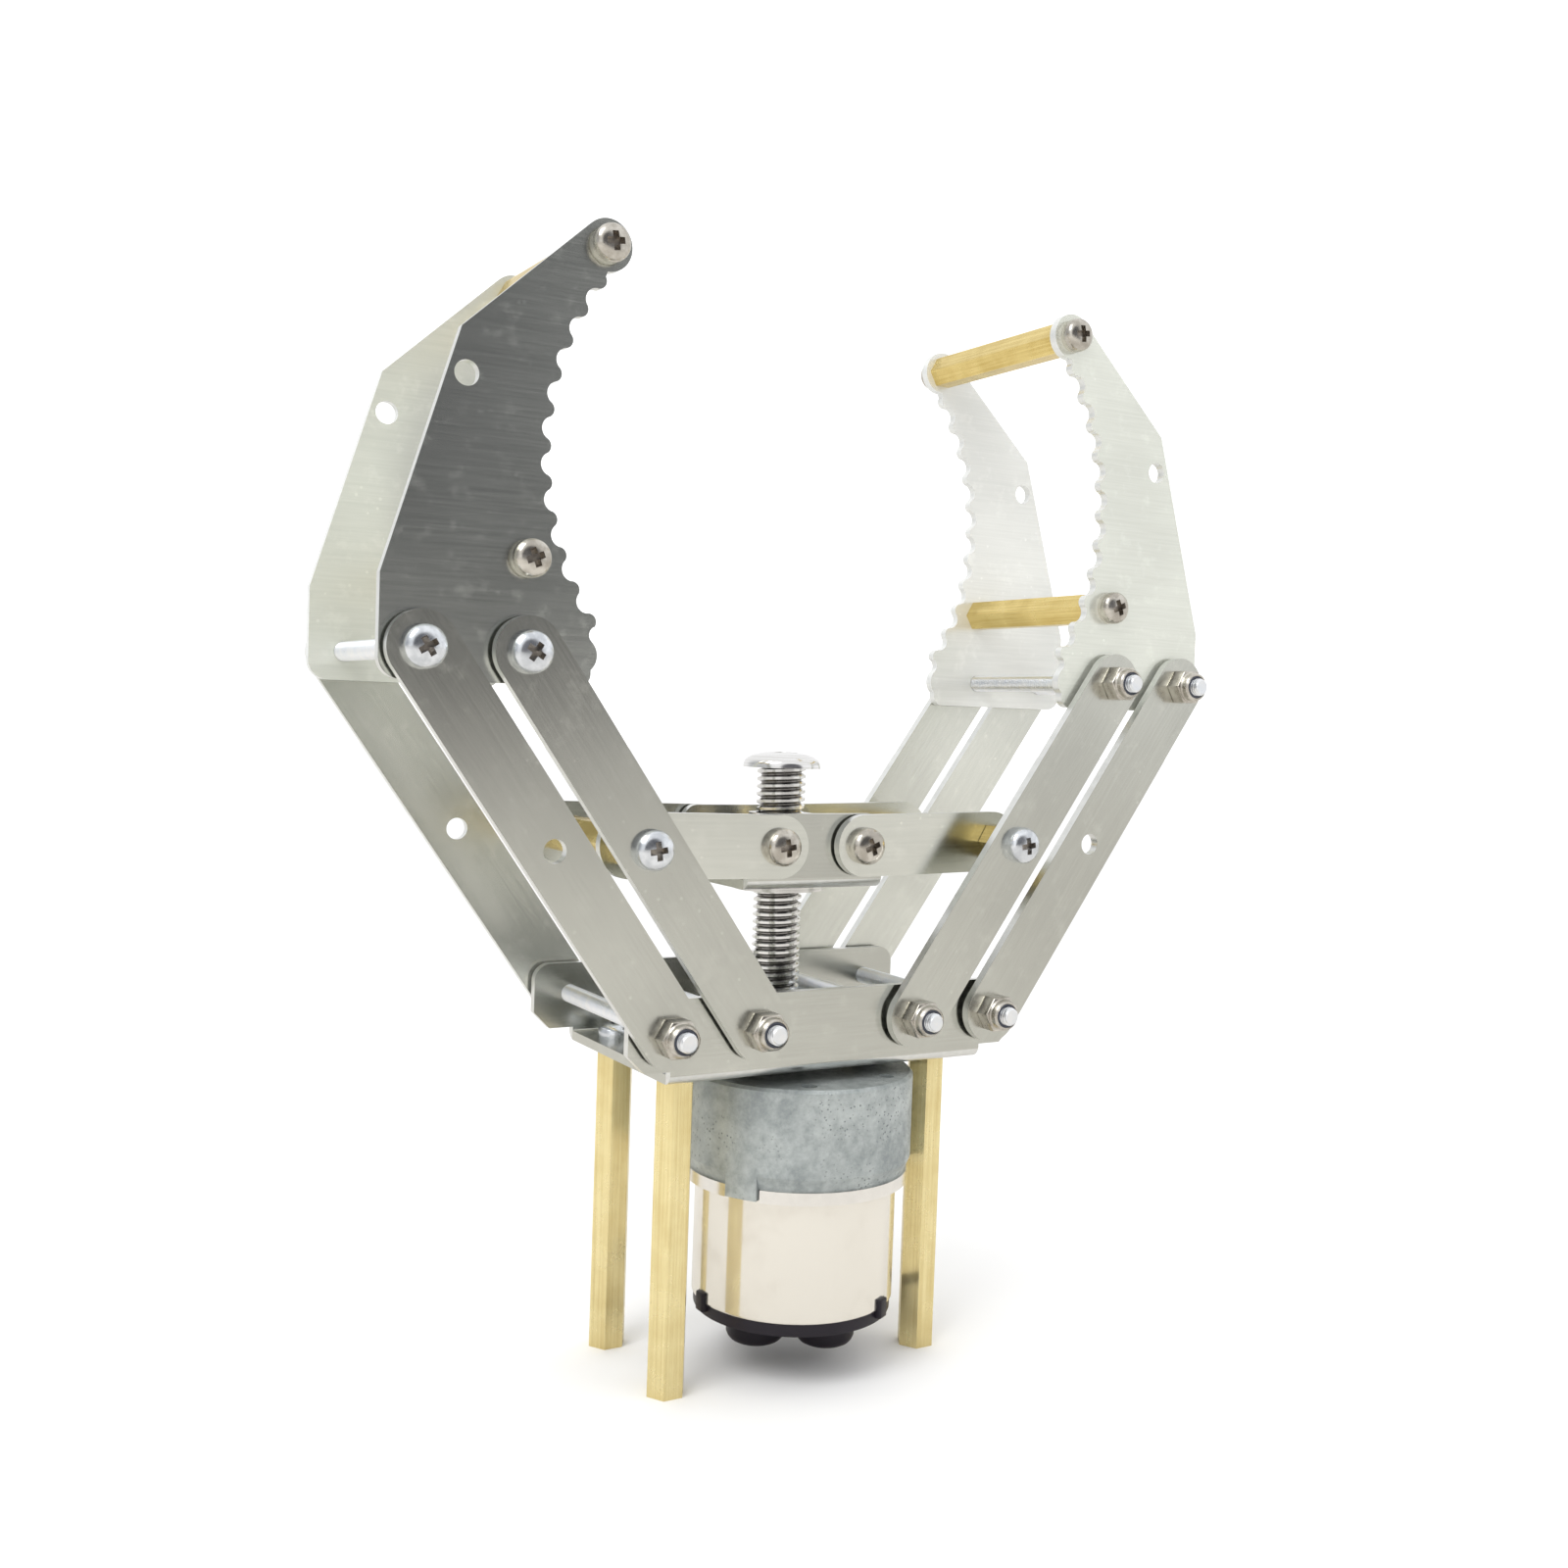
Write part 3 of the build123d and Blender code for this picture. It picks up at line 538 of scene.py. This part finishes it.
def threaded(radius, depth, pitch, length, steps, bevel):
    """Screw thread from a tip at -length up to 0, all in millimetres."""
    mesh = bmesh.new()
    root = radius - depth
    turns = ceil(length / pitch) + 3
    start = -length - 2 * pitch
    ridge = [(root, 0.0), (root, 0.14), (radius, 0.41), (radius, 0.73), (root, 1.0)]
    bmesh.ops.spin(
        mesh,
        geom=outline_of(mesh, [(r, start + share * pitch) for r, share in ridge]),
        cent=(0, 0, 0),
        axis=(0, 0, 1),
        dvec=(0, 0, pitch * MM / steps),
        angle=2 * pi * turns,
        steps=steps * turns,
        use_merge=False,
    )
    bmesh.ops.remove_doubles(mesh, verts=mesh.verts, dist=0.003 * MM)
    for height, keep_above in ((-length, True), (0.0, False)):
        bmesh.ops.bisect_plane(
            mesh,
            geom=everything(mesh),
            dist=0.001 * MM,
            plane_co=(0, 0, height * MM),
            plane_no=(0, 0, 1),
            clear_inner=keep_above,
            clear_outer=not keep_above,
        )
    rims = [edge for edge in mesh.edges if edge.is_boundary]
    bmesh.ops.holes_fill(mesh, edges=rims, sides=0)
    for vert in mesh.verts:
        limit = (radius - bevel + length) * MM + vert.co.z
        reach = vert.co.xy.length
        if reach > limit:
            vert.co.x *= limit / reach
            vert.co.y *= limit / reach
    bmesh.ops.recalc_face_normals(mesh, faces=mesh.faces)
    soften(mesh)
    for face in mesh.faces:
        face.material_index = THREAD
    return mesh


print("thread made by", "spin and bisect_plane")

# %% [markdown]
# ## Pan heads with a cross recess
# A pan head is a low dome with a straight rim. Its outline is a flattened arc, and spinning it is enough. The recess
# is cut by two tapered blocks at right angles. bmesh has no cutting operator of that kind, so two Boolean modifiers
# do it on a master head, whose finished mesh is then copied to every screw of that size.


# %% Model a head
recess_taper = (0.62, 0.8, 1)


def apart(name, mesh):
    """A working object that is thrown away after use."""
    made = bpy.data.objects.new(name, as_data(name, mesh))
    bpy.context.scene.collection.objects.link(made)
    return made


def pan_head(radius, height, length, width, depth, straight=0.3, fullness=0.72):
    """Mesh data of a head whose underside is at 0. The recess has a length, a width and a depth."""
    rim = straight * height
    arc_steps = 10
    arc = [pi / 2 * n / arc_steps for n in range(arc_steps + 1)]
    dome = [(radius * cos(t) ** fullness, rim + (height - rim) * sin(t) ** 0.85) for t in arc]
    head = apart("master_head", spun([(0, 0), (radius, 0)] + dome[:-1] + [(0, height)], 56))
    blocks = []
    for turn in (0, pi / 2):
        block = bmesh.new()
        bmesh.ops.create_cube(block, size=MM)
        bmesh.ops.scale(block, vec=(length, width, 2 * depth), verts=block.verts)
        low = [vert for vert in block.verts if vert.co.z < 0]
        bmesh.ops.scale(block, vec=recess_taper, verts=low)
        bmesh.ops.rotate(block, cent=(0, 0, 0), matrix=Matrix.Rotation(turn, 3, "Z"), verts=block.verts)
        bmesh.ops.translate(block, vec=(0, 0, height * MM), verts=block.verts)
        blocks.append(apart("recess_block", block))
        cut = head.modifiers.new("recess", "BOOLEAN")
        cut.operation = "DIFFERENCE"
        cut.solver = "EXACT"
        cut.object = blocks[-1]
    bpy.context.view_layer.update()
    cut_head = head.evaluated_get(bpy.context.evaluated_depsgraph_get())
    mesh = bmesh.new()
    mesh.from_mesh(cut_head.to_mesh())
    for used in blocks + [head]:
        bpy.data.objects.remove(used)
    for face in mesh.faces:
        middle = face.calc_center_median()
        inside = (height - depth - 0.05) * MM < middle.z < (height - 0.32) * MM
        face.material_index = RECESS if inside and middle.xy.length < (length / 2 + 0.05) * MM else HEAD
    soften(mesh)
    print("head", radius, "recess faces", sum(face.material_index for face in mesh.faces))
    return as_data("pan_head", mesh)


M3_RADIUS = 1.5
M3_PITCH = 0.5
M3_THREAD_DEPTH = 0.22
M3_TIP_BEVEL = 0.35
TO_FRONT = Matrix.Rotation(radians(90), 4, "X")
TO_BACK = Matrix.Rotation(radians(-90), 4, "X")
UPWARDS = Matrix.Identity(4)
shanks = {}


def at(x, y, z, facing, turn=0.0):
    """A place in millimetres, with a facing and a turn about the screw's own axis in degrees."""
    return Matrix.Translation(Vector((x, y, z)) * MM) @ facing @ Matrix.Rotation(radians(turn), 4, "Z")


def screws(node, body, head, length, places, material):
    """Screws that stand for a CAD node: a head at each place, with a threaded shank behind it."""
    if length not in shanks:
        thread = threaded(M3_RADIUS, M3_THREAD_DEPTH, M3_PITCH, length, 18, M3_TIP_BEVEL)
        shanks[length] = as_data("shank", thread)
    mesh = joined((head, places), (shanks[length], places))
    print(node, "screws", len(places), "faces", len(mesh.faces))
    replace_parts(show(f"{node}_looks", mesh, [material, recess_painted_shade, thread_finish], body), node)


inner_foot, outer_foot, foot_z = 14.25, 29.25, 57.9
axle = (33.695, 85.363)
finger_x, finger_z = 68.140, 112.826
finger_pivots = ((finger_x, finger_z), (finger_x - 15.0, finger_z))
finger_screw_places = ((finger_x - 25.8, finger_z + 57.5), (finger_x - 15.28, finger_z + 12.9))
carrier_pivot = (7.85, 84.867)
leg_places = [(x * 23.59, y * 11.0) for x in (-1, 1) for y in (-1, 1)]
gearbox_centre = (1.798, -5.881)
motor_screw_radius = 15.3
motor_screw_turns = [radians(5 + 60 * n) for n in range(4)]
motor_screw_places = [
    (gearbox_centre[0] + motor_screw_radius * cos(turn), gearbox_centre[1] + motor_screw_radius * sin(turn))
    for turn in motor_screw_turns
]


def mirrored(*places):
    return [(way * x, z) for x, z in places for way in (-1, 1)]


# %% [markdown]
# ## Set the screws
# Nobody lines up the crosses of screws, so each one is turned by its own angle. The turns are a fixed spread and not
# random, so that the claw looks the same on every run.

# %% Place every screw
large_head = pan_head(3.0, 2.4, 3.5, 1.0, 1.2)
small_head = pan_head(2.7, 2.0, 3.4, 1.05, 1.1)
spread = [8, 37, 61, 22, 74, 50, 15, 83, 30, 66]


def both_faces(depth, places):
    """Heads on the front and on the back of the same holes."""
    return [
        at(x, face * depth, z, facing, spread[(3 * n + k) % len(spread)])
        for n, (x, z) in enumerate(places)
        for k, (face, facing) in enumerate(((-1, TO_FRONT), (1, TO_BACK)))
    ]


long_bolt = 47.8
leg_shank, motor_shank, carrier_shank, finger_shank, arm_shank = 6.5, 8.3, 6.7, 7.3, 6.5
arm_top = arm_faces[1]
washer_top = finger_faces[1] + 0.8
base_plate_top = 51.5
base_feet = mirrored((inner_foot, foot_z), (outer_foot, foot_z))
screws(
    "base_pivot_bolts", "base", large_head, long_bolt,
    [at(x, arm_top, z, TO_BACK, turn) for (x, z), turn in zip(base_feet, spread)], zinc_finish,
)
screws(
    "leg_screws", "base", large_head, leg_shank,
    [at(x, y, base_plate_top, UPWARDS, turn) for (x, y), turn in zip(leg_places, spread)], zinc_finish,
)
screws(
    "motor_screws", "base", large_head, motor_shank,
    [at(x, y, base_plate_top, UPWARDS, turn) for (x, y), turn in zip(motor_screw_places, spread[4:])], zinc_finish,
)
screws(
    "carrier_screws", "carrier", large_head, carrier_shank,
    both_faces(link_faces[1], mirrored(carrier_pivot)), nickel_finish,
)
for side, way, bolt_face, bolt_facing in (("left", -1, -1, TO_FRONT), ("right", 1, 1, TO_BACK)):
    pivots = [(way * x, z) for x, z in finger_pivots]
    screws(
        f"{side}_finger_pivot_bolts", f"{side}_finger", large_head, long_bolt,
        [at(x, bolt_face * arm_top, z, bolt_facing, turn) for (x, z), turn in zip(pivots, (31, 58))], zinc_finish,
    )
    screws(
        f"{side}_finger_screws", f"{side}_finger", small_head, finger_shank,
        both_faces(washer_top, [(way * x, z) for x, z in finger_screw_places]), nickel_finish,
    )
    screws(
        f"{side}_arm_screws", f"{side}_inner_arm", large_head, arm_shank,
        both_faces(arm_top, [(way * axle[0], axle[1])]), zinc_finish,
    )

# %% [markdown]
# ## Locknuts
# A locknut is a hexagon with a round collar rolled over a nylon ring. Cutting one solid with Booleans would work, but
# two overlapping shapes are simpler, and the overlap doesn't show: the hexagon is a six-sided circle, extruded and
# bevelled, and the collar is spun. So is the ring, the dark circle round each bolt's end.

# %% Model and place the locknuts
across_flats = 5.5
hexagon_height = 2.6
hexagon = bmesh.new()
bmesh.ops.create_circle(hexagon, cap_ends=True, segments=6, radius=across_flats / sqrt(3) * MM)
bmesh.ops.rotate(hexagon, cent=(0, 0, 0), matrix=Matrix.Rotation(radians(30), 3, "Z"), verts=hexagon.verts)
raised = bmesh.ops.extrude_face_region(hexagon, geom=hexagon.faces[:])["geom"]
raised_corners = [part for part in raised if isinstance(part, bmesh.types.BMVert)]
bmesh.ops.translate(hexagon, vec=(0, 0, hexagon_height * MM), verts=raised_corners)
bmesh.ops.recalc_face_normals(hexagon, faces=hexagon.faces)
bmesh.ops.bevel(
    hexagon, geom=hexagon.edges[:], offset=0.22 * MM, affect="EDGES", segments=3, profile=0.5, material=-1
)
soften(hexagon, radians(50))
hexagon_data = as_data("nut_hexagon", hexagon)
collar_outline = [(1.9, 2.2), (2.68, 2.2), (2.68, 2.72), (2.5, 2.95), (2.45, 3.5)]
collar_outline += [(2.34, 3.82), (2.12, 4.0), (1.96, 3.95), (1.9, 3.7)]
collar_data = as_data("nut_collar", spun(collar_outline, 40, closed=True))
ring_radius, ring_height, ring_thickness = 1.7, 3.7, 0.28
ring_turns = [pi / 5 * n for n in range(10)]
section = [(ring_radius + ring_thickness * cos(t), ring_height + ring_thickness * sin(t)) for t in ring_turns]
nylon_data = as_data("nut_nylon", spun(section, 32, closed=True))

nylon, nylon_shader, nylon_place = finish("nylon_ring", Roughness=0.42)
nylon_cloud = nylon_place.noise(900.0, 2.0)
nylon_cloud.feed(nylon_shader.inputs["Base Color"], nylon_cloud.blend(nylon_dark, (0.06, 0.065, 0.085, 1)))


def locknuts(node, body, places):
    nuts = joined((hexagon_data, places), (collar_data, places))
    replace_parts(show(f"{node}_looks", nuts, [nut_finish], body), node)
    show(f"{node}_nylon", joined((nylon_data, places)), [nylon], body)
    print(node, "nuts", len(places))


locknuts("base_pivot_nuts", "base", [at(x, -arm_top, z, TO_FRONT) for x, z in base_feet])
locknuts("left_finger_pivot_nuts", "left_finger", [at(-x, arm_top, z, TO_BACK) for x, z in finger_pivots])
locknuts("right_finger_pivot_nuts", "right_finger", [at(x, -arm_top, z, TO_FRONT) for x, z in finger_pivots])

# %% [markdown]
# ## Spring washers
# A spring washer is a turn of square wire that was cut through and twisted. It could be spun as a helix, but at this
# size only the cut shows, as a thin dark line across the ring. So the CAD ring stays, and the line is drawn where the
# ring crosses a slanted band below each screw.

# %% Make the spring washers' finish
cut_half = 0.16 * MM
cut_lean = 0.7
cut_beside = 1.2
cut_reach = 3.2
ring_middle = 19.4
washer_steel, washer_shader, washer_place = finish("spring_washer_steel", Metallic=1.0, Roughness=0.3)
cut = None
for x, z in mirrored(*finger_screw_places):
    lean = (washer_place.part(1).size() - ring_middle * MM) * cut_lean
    beside = (washer_place.part(0) - (x + cut_beside) * MM + lean).size().below(cut_half)
    lower = washer_place.part(2).below(z * MM) * washer_place.part(2).above((z - cut_reach) * MM)
    cut = beside * lower if cut is None else cut.most(beside * lower)
cut.feed(washer_shader.inputs["Base Color"], cut.blend(nickel, recess_dark))
dress(washer_steel, "left_spring_washers", "right_spring_washers")
print("spring washers cut at", len(mirrored(*finger_screw_places)), "screws")

# %% [markdown]
# ## Turned and plated drive parts
# The coupling, the shaft and the lead nut are turned on a lathe, which leaves fine rings round their axis. The noise
# is squeezed along Z and kept long around it. Real grooves would be far finer than a pixel. The motor's can is
# pressed steel with bright nickel on it: almost a mirror, with soft ripples from the press.

# %% Make the drive's finishes
turned_steel, turned_shader, turned_place = finish("turned_steel", Metallic=1.0)
rings = turned_place.moved((60, 60, 6500)).noise(1.0, 3.0)
rings.feed(turned_shader.inputs["Base Color"], rings.fade(0.3, 0.7).blend(grey(0.62, 0.02), grey(0.84, 0.015)))
rings.feed(turned_shader.inputs["Roughness"], 0.17 + rings * 0.12)
rings.feed(turned_shader.inputs["Normal"], rings.bump(0.000005))
dress(turned_steel, "motor_shaft", "screw_coupling", "lead_nut")

can_nickel, can_shader, can_place = finish("can_nickel", Metallic=0.86)
ripple = can_place.moved((110, 110, 18)).noise(1.0, 2.0)
smudge = can_place.noise(130.0, 5.0, 0.6).fade(0.5, 0.8)
ripple.feed(can_shader.inputs["Base Color"], smudge.blend((0.90, 0.87, 0.80, 1), (0.80, 0.76, 0.69, 1)))
ripple.feed(can_shader.inputs["Roughness"], 0.11 + smudge * 0.12)
ripple.feed(can_shader.inputs["Normal"], ripple.bump(0.00008))
dress(can_nickel, "motor_can")

plate_steel, plate_shader, plate_place = finish("gearbox_plate_steel", Metallic=1.0)
plate_grain = plate_place.noise(900.0, 3.0)
plate_grain.feed(plate_shader.inputs["Base Color"], plate_grain.blend(grey(0.78, 0.02), grey(0.93, 0.02)))
plate_grain.feed(plate_shader.inputs["Roughness"], 0.18 + plate_grain * 0.1)
dress(plate_steel, "gearbox_plate")
print("drive finishes made")

# %% [markdown]
# ## The raw casting and the moulded cap
# The gearbox is die cast and left as it came: blue-grey, mottled, with tiny pores that cluster low on its right.
# Displacement could raise that skin, but it would need many faces for a few hundredths of a millimetre. Layers of
# noise give the mottling instead, and a cell pattern gives the pores, let through only where a slow noise allows. The
# motor's end cap is dark moulded plastic with a slightly pebbled skin.

# %% Make the casting's and the cap's finishes
casting, cast_shader, cast_place = finish("raw_casting", Metallic=0.62)
mottle = cast_place.noise(520.0, 7.0, 0.72)
broad = cast_place.noise(95.0, 3.0)
low_right = (cast_place.part(0) - 0.4 * cast_place.part(2)).fade(-0.022, 0.004)
pores = cast_place.spots(1500.0).fade(0.12, 0.3, 1.0, 0.0) * (broad + low_right * 0.3).fade(0.5, 0.72)
cast_tone = (mottle * 0.55 + broad * 0.45).fade(0.3, 0.7).blend((0.27, 0.3, 0.305, 1), (0.58, 0.62, 0.61, 1))
mottle.feed(cast_shader.inputs["Base Color"], (pores * 0.8).blend(cast_tone, (0.16, 0.18, 0.19, 1)))
mottle.feed(cast_shader.inputs["Roughness"], 0.42 + mottle * 0.22)
mottle.feed(cast_shader.inputs["Normal"], (mottle - pores * 0.9).bump(0.0001))
dress(casting, "gearbox_housing")

cap_plastic, cap_shader, cap_place = finish("cap_plastic", Roughness=0.36, Specular_IOR_Level=0.25)
pebble = cap_place.noise(2600.0, 3.0)
patch = cap_place.noise(150.0, 3.0)
patch.feed(cap_shader.inputs["Base Color"], patch.blend((0.012, 0.010, 0.014, 1), (0.024, 0.020, 0.028, 1)))
patch.feed(cap_shader.inputs["Normal"], pebble.bump(0.000012))
dress(cap_plastic, "motor_end_cap")
print("casting and cap finished")

# %% [markdown]
# ## The motor's end cap
# The cap closes the can: a low plastic disc with three ears that snap into the can's rim, and two round bosses that
# house the brushes. The CAD cap could be kept, but its ears are square and stand out a little far. Here the disc and
# the bosses are spun, and the ears are bevelled cubes. All of them overlap, and they share one object, because the
# cap is moulded in one piece.

# %% Model the end cap
can_radius = 16.5
cap_bottom = 8.8
boss_distance, boss_bottom = 5.7, 2.4
ear_inset, ear_rise = 0.2, 2.45
ear_size = (1.7, 2.3, 3.1)
cap_profile = [(0, 0), (15.7, 0), (16.05, 0.12), (16.2, 0.45), (16.2, 2.1), (0, 2.1)]
disc_data = as_data("cap_disc", spun(cap_profile, 96))
boss_profile = [(0, 0), (3.7, 0), (4.2, 0.28), (4.62, 0.75), (4.9, 1.4), (4.9, 7.0), (0, 7.0)]
boss_data = as_data("brush_boss", spun(boss_profile, 48))
ear = bmesh.new()
bmesh.ops.create_cube(ear, size=MM)
bmesh.ops.scale(ear, vec=ear_size, verts=ear.verts)
bmesh.ops.bevel(ear, geom=ear.edges[:], offset=0.28 * MM, affect="EDGES", segments=3, profile=0.5, material=-1)
soften(ear, radians(50))
ear_data = as_data("cap_ear", ear)


def about_motor(radius, angle, z):
    """A place round the motor's axis, turned to face outwards."""
    turn = Matrix.Rotation(radians(angle), 4, "Z")
    return at(*gearbox_centre, z, UPWARDS) @ turn @ Matrix.Translation(Vector((radius, 0, 0)) * MM)


bosses = [about_motor(boss_distance, angle, boss_bottom) for angle in (-30, 150)]
ears = [about_motor(can_radius - ear_inset, -61 + 120 * n, cap_bottom + ear_rise) for n in range(3)]
cap = joined((disc_data, [about_motor(0, 0, cap_bottom)]), (boss_data, bosses), (ear_data, ears))
print("end cap faces", len(cap.faces))
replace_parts(show("motor_end_cap_looks", cap, [cap_plastic], "base"), "motor_end_cap")

# %% [markdown]
# ## The lead screw
# The lead screw is an M8 screw with a wide, low head, so the same two functions make it from larger numbers. The
# bottom of the thread gets painted shade: the finish measures the distance from the axis and fades to dark there.

# %% Model the lead screw
lead_radius, lead_pitch, lead_thread_depth = 4.0, 1.25, 0.7
lead_length = 43.2
head_underside = 96.82
# The painted shade in the thread's grooves stops at this height, just below the head.
groove_shade_top = 96.8
under_head = at(0, 0, head_underside, UPWARDS)
lead_head = pan_head(6.4, 2.6, 6.4, 1.1, 1.4, 0.12, 0.9)
lead_thread = threaded(lead_radius, lead_thread_depth, lead_pitch, lead_length, 44, 0.6)
lead_shank = as_data("lead_shank", lead_thread)

screw_steel, screw_shader, screw_place = finish("lead_screw_steel", Metallic=1.0)
turning = screw_place.moved((80, 80, 5200)).noise(1.0, 3.0)
beside_x = screw_place.part(0)
beside_y = screw_place.part(1)
screw_reach = beside_x.sum("SQRT", beside_x * beside_x + beside_y * beside_y)
root_radius = (lead_radius - lead_thread_depth) * MM
# Painted shade: dark near the root of the thread, below the head.
groove_shade = screw_reach.fade(root_radius + 0.08 * MM, root_radius + 0.4 * MM, 1.0, 0.0)
groove_shade = groove_shade * screw_place.part(2).below(groove_shade_top * MM)
screw_tone = turning.fade(0.3, 0.7).blend(grey(0.76, 0.01), grey(0.90, 0.0))
groove_shade.feed(screw_shader.inputs["Base Color"], (groove_shade * 0.8).blend(screw_tone, (0.12, 0.11, 0.10, 1)))
groove_shade.feed(screw_shader.inputs["Roughness"], 0.11 + turning * 0.1)
lead_screw = joined((lead_head, [under_head @ Matrix.Rotation(radians(40), 4, "Z")]), (lead_shank, [under_head]))
print("lead screw faces", len(lead_screw.faces), "open edges", sum(edge.is_boundary for edge in lead_screw.edges))
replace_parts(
    show("lead_screw_looks", lead_screw, [screw_steel, recess_painted_shade, screw_steel], "lead_screw"),
    "lead_screw",
)
